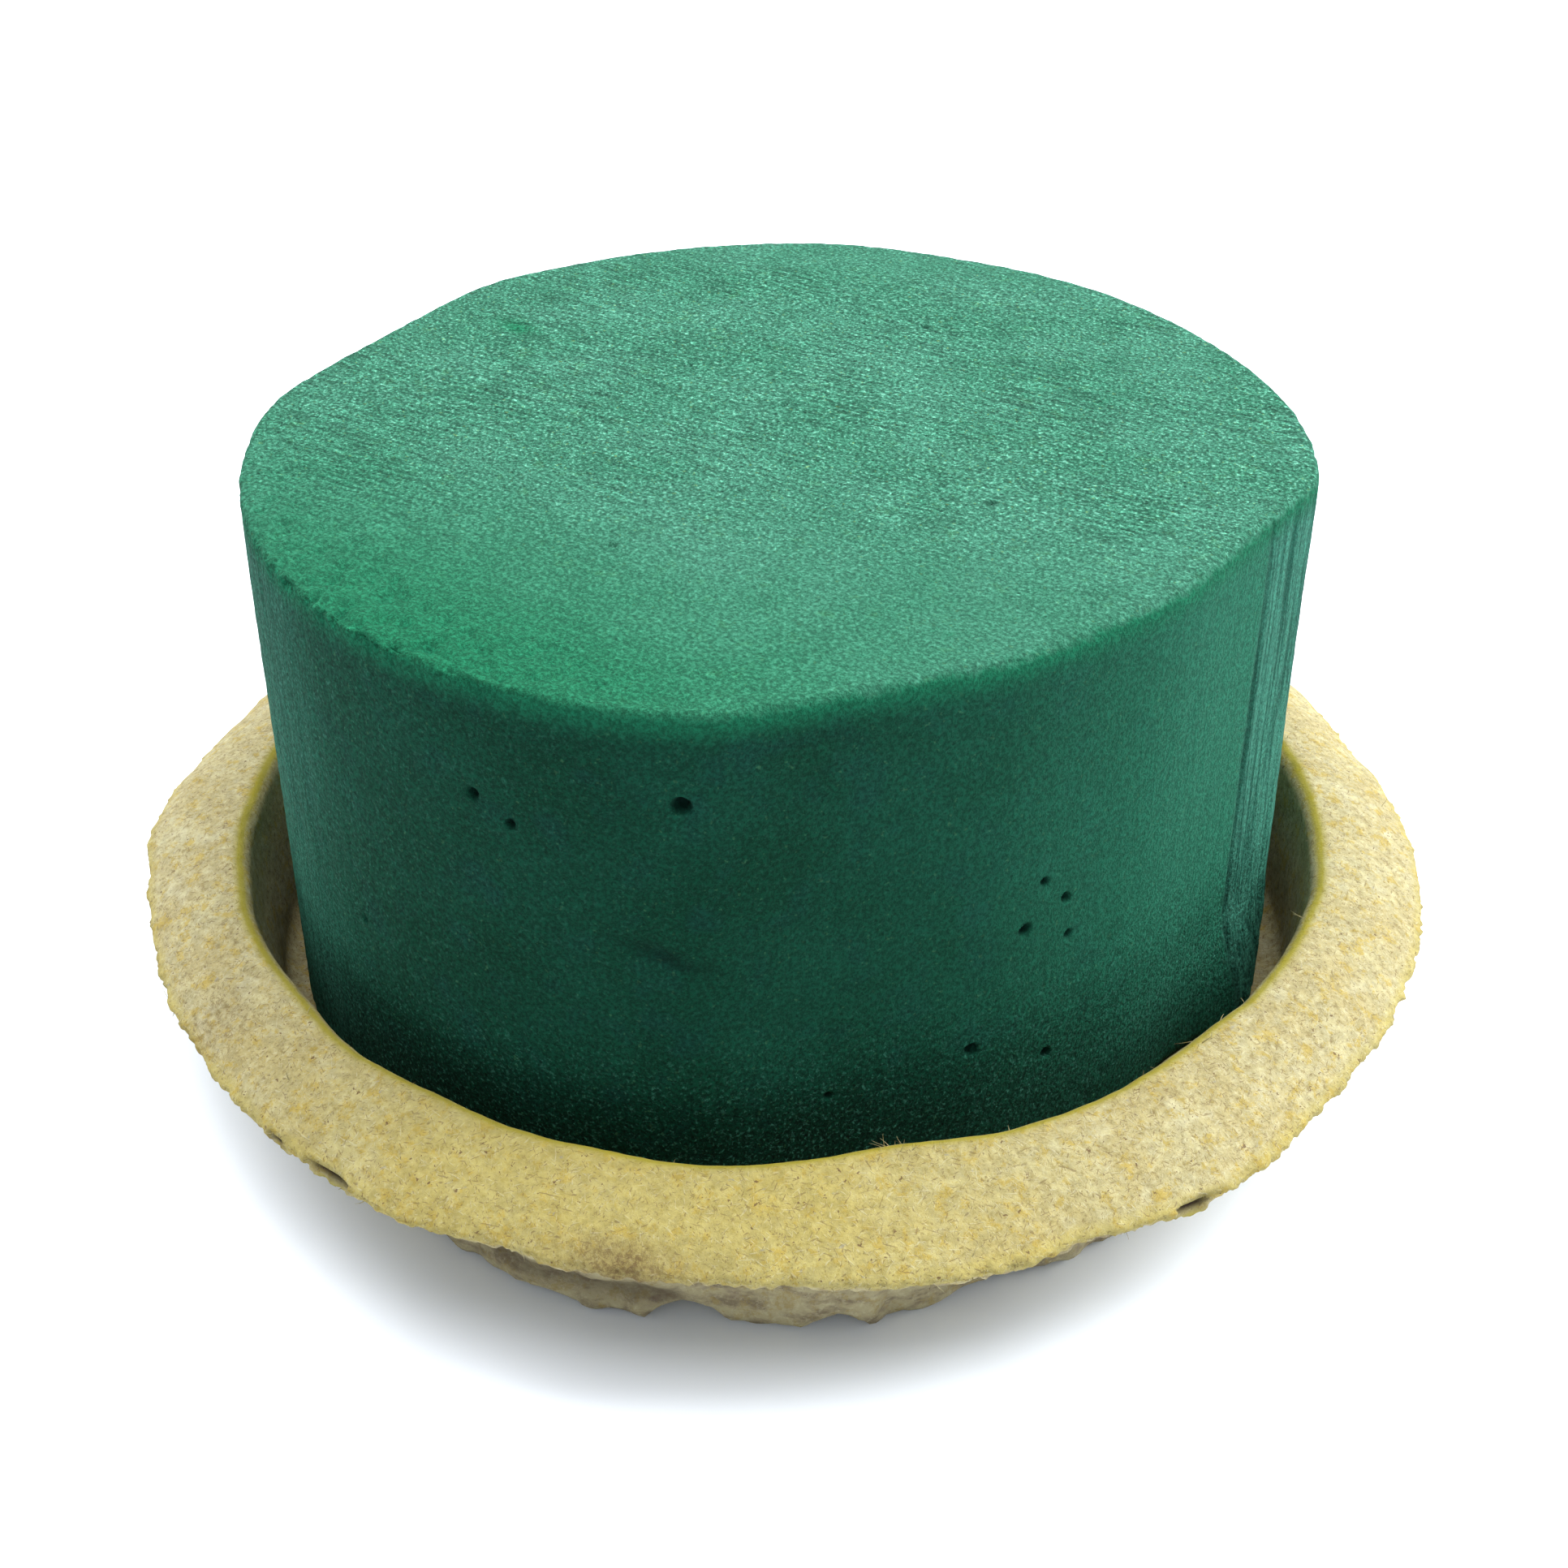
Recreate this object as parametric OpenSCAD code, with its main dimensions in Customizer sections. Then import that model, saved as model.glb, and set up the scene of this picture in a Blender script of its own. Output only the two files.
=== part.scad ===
// Floral foam round glued into a moulded paper-pulp dish.
// The origin is at the middle of the dish's foot, +Z is up, and the foam's deeper flat faces +X.

/* [Foam] */
// Diameter of the full round of foam
foam_d = 111; // [104:0.5:113]
// Height of the foam
foam_h = 62; // [30:1:90]
// How far the flat on the +X side lies inside the full round
flat_a_depth = 4.5; // [1:0.1:6]
// How far the flat on the other side lies inside the full round
flat_b_depth = 2; // [1:0.1:5]
// Direction of the second flat, in degrees from +X
flat_b_angle = 200; // [160:1:210]
// Radius of the slight bow in both flats
flat_bow_r = 120; // [90:5:400]

/* [Dish] */
// Inside radius of the well just above its floor
well_floor_r = 58.5; // [58:0.1:59.5]
// Inside radius of the well where the rim's rounding starts
well_mouth_r = 59.5; // [59.5:0.1:61]
// Height of the rim's crest above the table
crest_h = 20.6; // [16:0.1:28]
// Thickness of the moulded pulp
pulp_t = 2.4; // [1.8:0.1:2.8]
// Height of the recess under the base
base_recess = 0.8; // [0.4:0.1:1.2]
// Radius of the raised middle of the floor
plateau_r = 44; // [38:0.5:46]
// Radius between the foot and the outside of the wall
foot_round = 2; // [1.5:0.1:3.5]
// Radius between the floor and the inside of the wall
floor_round = 2; // [1:0.1:2.5]

/* [Flange] */
// How far the flange reaches out from its crest
flange_w = 10.1; // [8:0.1:11]
// How far the flange falls from its crest to its outer edge
flange_drop = 4.5; // [3.5:0.1:5.5]
// Radius of the flange's arched section
flange_bow_r = 19.5; // [16:0.5:40]
// Radius of the rounded inner edge of the rim
rim_round = 1.8; // [1.2:0.1:2.2]
// Radius of the rounding on the flange's outer edge
edge_round = 0.8; // [0.4:0.1:0.9]
// Radius of the hollow corner between the wall and the flange
underside_round = 2; // [1:0.1:2.5]

/* [Glue] */
// Diameter of a hot-melt dab pressed flat
dab_d = 14; // [8:1:18]
// Thickness of a dab
dab_t = 0.8; // [0.5:0.1:1.5]
// Radius of the ring of outer dabs
dab_ring_r = 28; // [20:1:32]

/* [Hidden] */

DABS = 5;           // one in the middle, the others in a ring
ARC_STEPS = 8;      // straight steps in each arc of the dish's section
ROUND_FN = 180;     // a true circle in the exact solids
BULGE = 0.6;        // how far a dab's rim bulges out past its flat faces

plateau_z = base_recess + pulp_t;
foam_z = plateau_z + dab_t;
foam_r = foam_d / 2;

// The flange's section is an arch whose chord falls from the crest to the outer edge.
chord_slope = atan(flange_drop / flange_w);
half_arch = asin(norm([flange_w, flange_drop]) / 2 / flange_bow_r);
crest_angle = 90 - chord_slope + half_arch;
edge_angle = 90 - chord_slope - half_arch;

// The wall leans out a little, so that the dish leaves its mould.
draft = atan((well_mouth_r - well_floor_r) / (crest_h - rim_round - pulp_t - floor_round));
rim_c = [well_mouth_r + rim_round * cos(draft), crest_h - rim_round];
arch_c = rim_c - (flange_bow_r - rim_round) * [cos(crest_angle), sin(crest_angle)];
floor_c = [well_floor_r - floor_round * cos(draft), pulp_t + floor_round];
foot_c = [well_floor_r + pulp_t - foot_round, foot_round];

// Points on an arc about c, from angle a to angle b.
function arc(c, r, a, b) =
    [for (i = [0 : ARC_STEPS]) let (t = a + (b - a) * i / ARC_STEPS) c + r * [cos(t), sin(t)]];

// The dish's outside wall meets the flange's underside in a hollow corner.
under_r = flange_bow_r - pulp_t;
corner_c_r = well_mouth_r + pulp_t * cos(draft) + underside_round;
corner_angle = acos((corner_c_r - arch_c.x) / (under_r - underside_round));
corner_c = arch_c + (under_r - underside_round) * [cos(corner_angle), sin(corner_angle)];

edge_in_r = flange_bow_r - edge_round;
edge_out_r = under_r + edge_round;
edge_back = edge_angle + asin(edge_round / edge_in_r);

// Half of the dish's section, from the middle of the floor out along the inside and back below.
dish_section = concat(
    [[0, plateau_z], [plateau_r - base_recess, plateau_z], [plateau_r + base_recess, pulp_t]],
    arc(floor_c, floor_round, -90, -draft),
    arc(rim_c, rim_round, 180 - draft, crest_angle),
    arc(arch_c, flange_bow_r, crest_angle, edge_back),
    arc(arch_c + edge_in_r * [cos(edge_back), sin(edge_back)], edge_round, edge_back, edge_angle - 90),
    arc(arch_c + edge_out_r * [cos(edge_back), sin(edge_back)], edge_round, edge_angle - 90, edge_back - 180),
    arc(arch_c, under_r, edge_back, corner_angle),
    arc(corner_c, underside_round, corner_angle, 180 - draft),
    arc(foot_c, foot_round, 0, -90),
    [[plateau_r + base_recess, 0], [plateau_r - base_recess, base_recess], [0, base_recess]]
);

module pulp_dish() {
    color([0.79, 0.74, 0.53])
    rotate_extrude($fn = ROUND_FN)
    polygon(dish_section);
}

// Everything on the near side of a slightly bowed flat that lies depth inside the round.
module inside_flat(angle, depth) {
    rotate(angle)
    translate([foam_r - depth - flat_bow_r, 0, foam_z])
    cylinder(r = flat_bow_r, h = foam_h, $fn = ROUND_FN);
}

module floral_foam() {
    color([0.13, 0.42, 0.30])
    intersection() {
        translate([0, 0, foam_z])
        cylinder(r = foam_r, h = foam_h, $fn = ROUND_FN);
        inside_flat(0, flat_a_depth);
        inside_flat(flat_b_angle, flat_b_depth);
    }
}

// A dab of hot-melt glue pressed flat between the dish's floor and the foam.
module glue_dab(i) {
    ring_angle = 45 + 360 / (DABS - 1) * (i - 2);
    place = i == 1 ? [0, 0] : dab_ring_r * [cos(ring_angle), sin(ring_angle)];
    flat_r = dab_d / 2 - BULGE;
    color([0.86, 0.80, 0.62])
    translate([place.x, place.y, plateau_z])
    rotate_extrude($fn = ROUND_FN)
    polygon([
        [0, 0], [flat_r, 0], [flat_r + BULGE, dab_t / 3], [flat_r + BULGE, 2 * dab_t / 3], [flat_r, dab_t], [0, dab_t]
    ]);
}

pulp_dish();
floral_foam();
for (i = [1 : DABS])
    glue_dab(i);
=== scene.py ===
"""Floral foam round in a moulded paper-pulp dish: the looks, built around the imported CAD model.

Everything is in metres in the CAD frame: the origin is the middle of the dish's foot and +Z is up.
Angles are measured from +X, and the foam's deeper flat faces +X.
"""

import itertools
import math

import bmesh
import bpy
import numpy as np
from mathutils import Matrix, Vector


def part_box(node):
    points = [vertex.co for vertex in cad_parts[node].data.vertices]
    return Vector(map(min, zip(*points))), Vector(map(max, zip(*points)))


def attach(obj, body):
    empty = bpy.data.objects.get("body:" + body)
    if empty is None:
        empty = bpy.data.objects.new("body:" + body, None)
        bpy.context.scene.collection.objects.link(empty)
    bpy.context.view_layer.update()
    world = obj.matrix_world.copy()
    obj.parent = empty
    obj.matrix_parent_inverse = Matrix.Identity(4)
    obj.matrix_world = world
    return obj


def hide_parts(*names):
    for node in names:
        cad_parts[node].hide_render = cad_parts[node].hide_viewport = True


MM = 0.001

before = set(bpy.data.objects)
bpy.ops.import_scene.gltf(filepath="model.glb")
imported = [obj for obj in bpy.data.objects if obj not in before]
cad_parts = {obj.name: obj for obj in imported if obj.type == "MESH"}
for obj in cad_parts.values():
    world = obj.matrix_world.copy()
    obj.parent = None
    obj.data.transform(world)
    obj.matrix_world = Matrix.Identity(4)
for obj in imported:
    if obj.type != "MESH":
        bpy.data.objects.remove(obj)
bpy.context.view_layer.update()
foam_low, foam_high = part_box("floral_foam")
dish_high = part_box("pulp_dish")[1]

# Foam. The facets are the flats as worn: direction in degrees, and depth inside the full round in mm.
FOAM_R = 55.5 * MM
FOAM_FACETS = ((14, 5.4), (-3, 5.8), (-21, 5.2), (200, 2.7))
# Direction of the one corner between facet and round that is still sharp, and of the crease beside it.
CRISP_CORNER, CREASE_ANGLE = 40, 29.5
# At the bottom the facet there runs out towards the full round: direction, and reach in mm.
TOE_ANGLE, TOE_REACH = 31, 3.4
# A finger has smeared one shallow dent across the near side: direction, and height in mm.
DENT_ANGLE, DENT_HEIGHT = -51, 39.7
# One smear on the top has no dust: x, y, half length and half width in mm.
SMEAR_X, SMEAR_Y, SMEAR_LONG, SMEAR_WIDE = -42, -5, 2.6, 1.5
# Direction of the saw's ridges across the top.
SAW_ANGLE = 20
# Points around the foam, and the size of its faces.
FOAM_SEGMENTS = 512
FOAM_STEP = 0.72 * MM
# Open cells in the foam's side: direction in degrees, height and diameter in mm.
SIDE_PITS = (
    (-70, 53.6, 1.5), (-66, 51.5, 1.3), (-49, 56.7, 2.1), (-9.6, 39.9, 1.3), (-6.3, 36.8, 1.4),
    (-11.9, 34.9, 1.7), (-5.4, 32.0, 1.3), (-18.1, 22.0, 1.7), (-7.4, 17.6, 1.5), (-88, 31.0, 1.0),
    (-35, 20.5, 1.0), (72, 47.0, 1.4), (96, 30.0, 1.6), (118, 52.0, 1.2), (151, 38.0, 1.5),
    (158, 41.0, 1.1), (-172, 27.0, 1.6), (-146, 48.0, 1.3),
)
# Open cells in the foam's top: x, y and diameter in mm.
TOP_PITS = ((-21, 3.5, 1.3), (-6, 5, 1.0), (25, 6, 1.3), (-12, 31, 1.1), (8, -28, 1.0))

# Dish section, as the CAD model has it, in mm.
WELL_FLOOR_R, WELL_MOUTH_R = 58.5, 59.5
PULP_T, BASE_RECESS, PLATEAU_R = 2.4, 0.8, 44
FLOOR_ROUND, FOOT_ROUND, RIM_ROUND, EDGE_ROUND, UNDER_ROUND = 2, 2, 1.8, 0.5, 2
FLANGE_W, FLANGE_DROP, FLANGE_BOW_R = 10.1, 4.5, 19.5
# Points around the dish.
DISH_SEGMENTS = 640
# Where the pulp wanders from the true section: direction and half width in degrees, and distance in mm.
CREST_BUMPS = (
    (-30, 7, -1.6), (5, 6, -0.8), (-58, 24, 1.3), (-84, 9, 0.9), (-106, 15, 1.3), (-132, 18, 0.8),
    (36, 8, 0.5), (150, 25, 0.5),
)
EDGE_BUMPS = (
    (-131, 9, 1.5), (-83, 6, 0.6), (-70, 5, 1.4), (-54, 6, 0.6), (-27, 9, 1.2), (-12, 4, 0.7),
    (-3, 6, 1.5), (18, 3, 0.5), (40, 12, 0.6), (64, 7, -0.9), (110, 14, 0.8), (165, 10, -0.6),
)
FOOT_BULGES = (
    (-47, 24, 1.7), (-60, 8, 1.7), (-34, 6, 1.6), (70, 30, 0.8), (170, 40, 1.0),
)
# How far the whole outer edge spreads past the true section, in mm.
EDGE_SPREAD = 0.5
# Arched notches under the foot: direction and half width in degrees, and height in mm.
FOOT_NOTCHES = (
    (-48.5, 3.8, 2.3), (-35, 3.0, 1.8), (-62, 4.0, 0.9), (-20, 6.0, 1.0), (95, 4.0, 1.4), (-150, 5.0, 1.2),
)
# Splits in the flange's outer edge: direction and half width in degrees, and depth in mm.
EDGE_SPLITS = (
    (-7.6, 1.9, 1.3), (-77, 2.6, 1.4), (-83, 1.1, 0.9), (42, 5.0, 0.35), (128, 2.4, 1.0), (-160, 2.0, 0.9),
)
# The groove along the near side under the flange: direction in degrees, height and depth in mm.
GROOVE_ANGLE, GROOVE_HEIGHT, GROOVE_DEPTH = -59, 3.9, 0.9
# Brown stain near the flange's outer edge, and two fainter ones: directions in degrees.
STAIN_ANGLE, FAINT_STAIN_ANGLE, BACK_STAIN_ANGLE = -51.5, -97, 140
# Loose fibres on each part of the dish.
FIBRE_COUNTS = (("crest", 80), ("edge", 160), ("flange", 60), ("under", 30))
# Tufts of longer fibres on the crest: direction and half width in degrees, and how many fibres.
FIBRE_TUFTS = ((-29, 1.6, 8), (4.6, 0.8, 5))

# The photo's camera: place and target in metres, and lens in mm.
CAMERA_PLACE = (0.1694, -0.1407, 0.1706)
CAMERA_TARGET = (0.0, 0.0, 0.0222)
CAMERA_LENS = 53


# ---------------------------------------------------------------------------------------------- noise

LATTICE = 32
CORNERS = [np.array(corner) for corner in itertools.product((0, 1), repeat=3)]


def smooth_noise(points, size, layer):
    """Smooth noise from about -1 to 1; size is that of the features, as one number or x, y, z."""
    slopes = np.random.default_rng(layer).normal(size=(LATTICE, LATTICE, LATTICE, 3))
    slopes /= np.linalg.norm(slopes, axis=3, keepdims=True)
    place = points / size
    cell = np.floor(place).astype(int)
    part = place - cell
    fade = part ** 3 * (part * (part * 6 - 15) + 10)
    total = np.zeros(len(points))
    for corner in CORNERS:
        at = (cell + corner) % LATTICE
        slope = slopes[at[:, 0], at[:, 1], at[:, 2]]
        weight = np.prod(np.where(corner == 1, fade, 1 - fade), axis=1)
        total += weight * ((part - corner) * slope).sum(axis=1)
    return 1.7 * total


def rough_noise(points, size, layer, octaves=3):
    """Layers of smooth noise, each half the size and half the strength of the one before."""
    total = np.zeros(len(points))
    for octave in range(octaves):
        total += smooth_noise(points, size / 2 ** octave, layer + octave) / 2 ** octave
    return total


def ease(value, low, high):
    """Rises smoothly from 0 at low to 1 at high."""
    share = np.clip((value - low) / (high - low), 0, 1)
    return share * share * (3 - 2 * share)


def angle_gap(angles, centre):
    """Signed difference in degrees between each angle (radians) and the centre (degrees)."""
    return (np.degrees(angles) - centre + 180) % 360 - 180


def hump(angles, centre, width):
    """A smooth hump around the ring, 1 at the centre; centre and width in degrees."""
    return np.exp(-(angle_gap(angles, centre) / width) ** 2)


def turned(points, degrees):
    """The points' coordinates along and across a direction in the XY plane."""
    c, s = math.cos(math.radians(degrees)), math.sin(math.radians(degrees))
    x, y = points[:, 0], points[:, 1]
    return np.stack([x * c + y * s, y * c - x * s, points[:, 2]], axis=1)


# --------------------------------------------------------------------------------------------- meshes

def ring_angles(count):
    return np.arange(count) * (2 * math.pi / count)


def ring_points(angles, radius, height):
    """Points of one ring; radius and height are single numbers or one for each angle."""
    return np.stack([radius * np.cos(angles), radius * np.sin(angles), height + 0 * angles], axis=1)


def bridge(upper, lower):
    """Faces between two rings of vertex numbers; one ring may have twice as many as the other."""
    faces = []
    few = min(len(upper), len(lower))
    for i in range(few):
        j = (i + 1) % few
        if len(upper) == len(lower):
            faces.append((upper[i], lower[i], lower[j], upper[j]))
        elif len(lower) > few:
            faces.append((upper[i], lower[2 * i], lower[2 * i + 1]))
            faces.append((upper[i], lower[2 * i + 1], lower[2 * j], upper[j]))
        else:
            faces.append((upper[2 * i], lower[i], upper[2 * i + 1]))
            faces.append((upper[2 * i + 1], lower[i], lower[j], upper[2 * j]))
    return faces


def lathe(name, rings, first, last):
    """A closed mesh from rings that run out from the middle of the top and back to the middle below."""
    points = [np.array([first])]
    numbers = []
    count = 1
    for ring in rings:
        numbers.append(list(range(count, count + len(ring))))
        points.append(ring)
        count += len(ring)
    points.append(np.array([last]))
    faces = []
    for i, number in enumerate(numbers[0]):
        faces.append((0, number, numbers[0][(i + 1) % len(numbers[0])]))
    for upper, lower in zip(numbers, numbers[1:]):
        faces.extend(bridge(upper, lower))
    for i, number in enumerate(numbers[-1]):
        faces.append((number, count, numbers[-1][(i + 1) % len(numbers[-1])]))
    mesh = bpy.data.meshes.new(name)
    mesh.from_pydata(np.concatenate(points).tolist(), [], faces)
    piece = bpy.data.objects.new(name, mesh)
    bpy.context.scene.collection.objects.link(piece)
    return piece


def points_of(piece):
    points = np.zeros(len(piece.data.vertices) * 3)
    piece.data.vertices.foreach_get("co", points)
    return points.reshape(-1, 3)


def normals_of(piece):
    normals = np.zeros(len(piece.data.vertices) * 3, np.float32)
    piece.data.vertex_normals.foreach_get("vector", normals)
    return normals.reshape(-1, 3).astype(float)


def move_points(piece, points):
    piece.data.vertices.foreach_set("co", points.reshape(-1))
    piece.data.update()


def paint(piece, name, values):
    """Stores one number for each vertex, for the material to read."""
    layer = piece.data.attributes.new(name, "FLOAT", "POINT")
    layer.data.foreach_set("value", np.clip(values, 0, 1).astype(np.float32))


def finish_piece(piece, material):
    piece.data.polygons.foreach_set("use_smooth", [True] * len(piece.data.polygons))
    piece.data.materials.append(material)
    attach(piece, "root")


# ----------------------------------------------------------------------------------------- shader help

class Shader:
    """A node material whose textures all read the object's own coordinates, in metres."""

    def __init__(self, name):
        self.material = bpy.data.materials.new(name)
        self.material.use_nodes = True
        self.nodes = self.material.node_tree.nodes
        self.links = self.material.node_tree.links
        self.nodes.clear()
        self.place = self.nodes.new("ShaderNodeTexCoord").outputs["Object"]
        self.surface = self.nodes.new("ShaderNodeBsdfPrincipled")
        output = self.nodes.new("ShaderNodeOutputMaterial")
        self.links.new(self.surface.outputs["BSDF"], output.inputs["Surface"])

    def put(self, socket, value):
        """Links an output to a socket, or writes a plain value in it."""
        if isinstance(value, bpy.types.NodeSocket):
            self.links.new(value, socket)
        else:
            socket.default_value = value

    def stretched(self, degrees, stretch):
        """Coordinates turned about Z and then drawn out by x, y, z."""
        node = self.nodes.new("ShaderNodeMapping")
        node.vector_type = "TEXTURE"
        node.inputs["Rotation"].default_value = (0, 0, math.radians(degrees))
        node.inputs["Scale"].default_value = stretch
        self.put(node.inputs["Vector"], self.place)
        return node.outputs["Vector"]

    def noise(self, size, detail=2.0, roughness=0.5, place=None):
        """Noise from 0 to 1 with features of that size in metres."""
        node = self.nodes.new("ShaderNodeTexNoise")
        node.inputs["Scale"].default_value = 1 / size
        node.inputs["Detail"].default_value = detail
        node.inputs["Roughness"].default_value = roughness
        self.put(node.inputs["Vector"], place or self.place)
        return node.outputs["Fac"]

    def cells(self, size):
        """Distance to the nearest cell centre, from 0 to about 1."""
        node = self.nodes.new("ShaderNodeTexVoronoi")
        node.inputs["Scale"].default_value = 1 / size
        self.put(node.inputs["Vector"], self.place)
        return node.outputs["Distance"]

    def strands(self, runs, stretch, low, high):
        """Short strands in several directions; runs holds each direction in degrees and width in mm."""
        total = None
        for degrees, width in runs:
            along = self.stretched(degrees, stretch)
            strand = self.span(self.noise(width * MM, 1, 0.5, along), low, high)
            total = strand if total is None else self.math("MAXIMUM", total, strand)
        return total

    def painted(self, name):
        node = self.nodes.new("ShaderNodeAttribute")
        node.attribute_name = name
        return node.outputs["Fac"]

    def height(self):
        node = self.nodes.new("ShaderNodeSeparateXYZ")
        self.put(node.inputs["Vector"], self.place)
        return node.outputs["Z"]

    def math(self, operation, a, b=0.0):
        node = self.nodes.new("ShaderNodeMath")
        node.operation = operation
        self.put(node.inputs[0], a)
        self.put(node.inputs[1], b)
        return node.outputs["Value"]

    def span(self, value, low, high, start=0.0, end=1.0):
        """Maps low..high to start..end smoothly."""
        node = self.nodes.new("ShaderNodeMapRange")
        node.interpolation_type = "SMOOTHSTEP"
        for name, number in (("From Min", low), ("From Max", high), ("To Min", start), ("To Max", end)):
            node.inputs[name].default_value = number
        self.put(node.inputs["Value"], value)
        return node.outputs["Result"]

    def mix(self, share, a, b, how="MIX"):
        """Mixes two colours; a colour is an output or (red, green, blue)."""
        node = self.nodes.new("ShaderNodeMix")
        node.data_type = "RGBA"
        node.blend_type = how
        self.put(node.inputs[0], share)
        for socket, colour in ((node.inputs[6], a), (node.inputs[7], b)):
            self.put(socket, colour if isinstance(colour, bpy.types.NodeSocket) else (*colour, 1))
        return node.outputs[2]

    def times(self, a, b):
        return self.math("MULTIPLY", a, b)

    def shade(self, colour, factor):
        """Makes a colour lighter or darker by a factor that varies over the surface."""
        node = self.nodes.new("ShaderNodeVectorMath")
        node.operation = "SCALE"
        self.put(node.inputs[0], colour)
        self.put(node.inputs["Scale"], factor)
        return node.outputs["Vector"]

    def bump(self, height, depth, strength=1.0, under=None):
        """A bump of that depth in metres, on top of another bump if one is given."""
        node = self.nodes.new("ShaderNodeBump")
        node.inputs["Strength"].default_value = strength
        node.inputs["Distance"].default_value = depth
        self.put(node.inputs["Height"], height)
        if under:
            self.put(node.inputs["Normal"], under)
        return node.outputs["Normal"]

    def wear(self, colour, roughness, normal=None, **fixed):
        """Sets the surface: colour, roughness and normal may vary, and the rest are fixed numbers."""
        self.put(self.surface.inputs["Base Color"], colour)
        self.put(self.surface.inputs["Roughness"], roughness)
        if normal:
            self.put(self.surface.inputs["Normal"], normal)
        for name, value in fixed.items():
            self.surface.inputs[name.replace("_", " ")].default_value = value
        return self.material


# ----------------------------------------------------------------------------------------------- foam

def foam_radius(angles, height=30 * MM):
    """Radius of the foam at each angle: the full round cut by the facets, with worn corners between."""
    sharpness = 60 + 240 * hump(angles, CRISP_CORNER, 12)
    total = np.ones(len(angles))
    for facing, depth in FOAM_FACETS:
        lean = np.clip(np.cos(angles - math.radians(facing)), 0.1, 1)
        total += ((FOAM_R - depth * MM) / lean / FOAM_R) ** -sharpness
    bulge = 0.7 * hump(angles, 132, 10) - 0.5 * hump(angles, 168, 12) - 0.3 * hump(angles, 75, 15)
    bulge = bulge - 0.45 * np.cos(angles - math.radians(50))
    radius = FOAM_R * total ** (-1 / sharpness) + bulge * MM
    toe = TOE_REACH * MM * hump(angles, TOE_ANGLE, 9) * (1 - ease(height, 3 * MM, 19 * MM))
    return np.minimum(radius + toe, np.maximum(radius, FOAM_R - 0.2 * MM))


def foam_rim_round(angles):
    """Radius of the foam's top edge, which is rubbed softer on the near right."""
    return (0.7 + 0.9 * hump(angles, -8, 34) + 0.4 * hump(angles, 100, 50)) * MM


def foam_count(share):
    """How many points a ring at that share of the radius has."""
    count = FOAM_SEGMENTS
    while share < 0.5 and count > 32:
        share *= 2
        count //= 2
    return count


def foam_rings():
    """Rings of the plain foam block, from the middle of its top to the middle of its underside."""
    top, bottom = foam_high.z, foam_low.z
    rings = []
    steps = int(FOAM_R / FOAM_STEP)
    for step in range(1, steps + 1):
        angles = ring_angles(foam_count(step / steps))
        radius = (foam_radius(angles) - foam_rim_round(angles)) * step / steps
        rings.append(ring_points(angles, radius, top))
    angles = ring_angles(FOAM_SEGMENTS)
    outline, rim = foam_radius(angles), foam_rim_round(angles)
    for turn in np.linspace(0, math.pi / 2, 6)[1:]:
        radius = outline - rim + rim * math.sin(turn)
        rings.append(ring_points(angles, radius, top - rim + rim * math.cos(turn)))
    for share in np.linspace(0, 1, int((top - bottom) / FOAM_STEP))[1:-1]:
        height = (top - rim) * (1 - share) + (bottom + 0.3 * MM) * share
        rings.append(ring_points(angles, foam_radius(angles, height), height))
    rings.append(ring_points(angles, foam_radius(angles, bottom) - 0.3 * MM, bottom))
    for share in (0.97, 0.7, 0.45, 0.24, 0.12, 0.06):
        angles = ring_angles(foam_count(share))
        rings.append(ring_points(angles, foam_radius(angles, bottom) * share, bottom))
    return rings


def pit_places():
    """Middle of each open cell, its diameter, the direction into the foam, and how deep it is."""
    places = []
    for degrees, height, size in SIDE_PITS:
        angle = np.array([math.radians(degrees)])
        point = ring_points(angle, foam_radius(angle), height * MM)[0]
        inward = np.array([-math.cos(angle[0]), -math.sin(angle[0]), 0])
        places.append((point, 0.85 * size * MM, inward, 0.9))
    for x, y, size in TOP_PITS:
        places.append((np.array([x * MM, y * MM, foam_high.z]), size * MM, np.array([0, 0, -1]), 0.4))
    return places


def refine_near(piece, places):
    """Cuts the faces around each place finer, so that a small pit has a round shape."""
    mesh = bmesh.new()
    mesh.from_mesh(piece.data)
    chosen = set()
    for point, size, _, _ in places:
        for face in mesh.faces:
            if (face.calc_center_median() - Vector(point)).length < 1.1 * size:
                chosen.update(face.edges)
    bmesh.ops.subdivide_edges(mesh, edges=list(chosen), cuts=3, use_grid_fill=True)
    bmesh.ops.triangulate(mesh, faces=[face for face in mesh.faces if len(face.verts) > 4])
    mesh.to_mesh(piece.data)
    mesh.free()


def scrapes_and_side_light(points, angles, sideness):
    """Where the side is scraped from top to bottom, with painted light added on the right and the left,
    and the height of the streaks that leaves, in mm.
    """
    gap = angle_gap(angles, 0)
    # The bands on the right and the patch on the left are partly real scraping and partly painted light
    # where the lamps fall on the side.
    scraped_and_lit = sideness * (0.16 * ease(gap, 2, 14) + 0.8 * ease(gap, 28, 31)) * (1 - ease(gap, 52, 66))
    scraped_and_lit += 0.36 * sideness * (1 - ease(np.abs(angle_gap(angles, -125)), 20, 45))
    scraped_and_lit += 0.12 * sideness
    streaks = smooth_noise(points, np.array([1.5, 1.5, 38]) * MM, 41)
    streaks += 0.7 * smooth_noise(points, np.array([0.95, 0.95, 22]) * MM, 42)
    return scraped_and_lit, scraped_and_lit * 0.17 * streaks


def saw_ridges(points, topness):
    """Height in mm of the fine straight ridges that a saw leaves across the top, stronger in places."""
    patches = 0.45 + 0.55 * smooth_noise(points, 26 * MM, 31)
    along_saw = turned(points, SAW_ANGLE)
    ridges = smooth_noise(along_saw, np.array([18, 1.5, 30]) * MM, 32)
    return topness * np.clip(patches, 0.1, 1) * 0.04 * ridges


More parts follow.
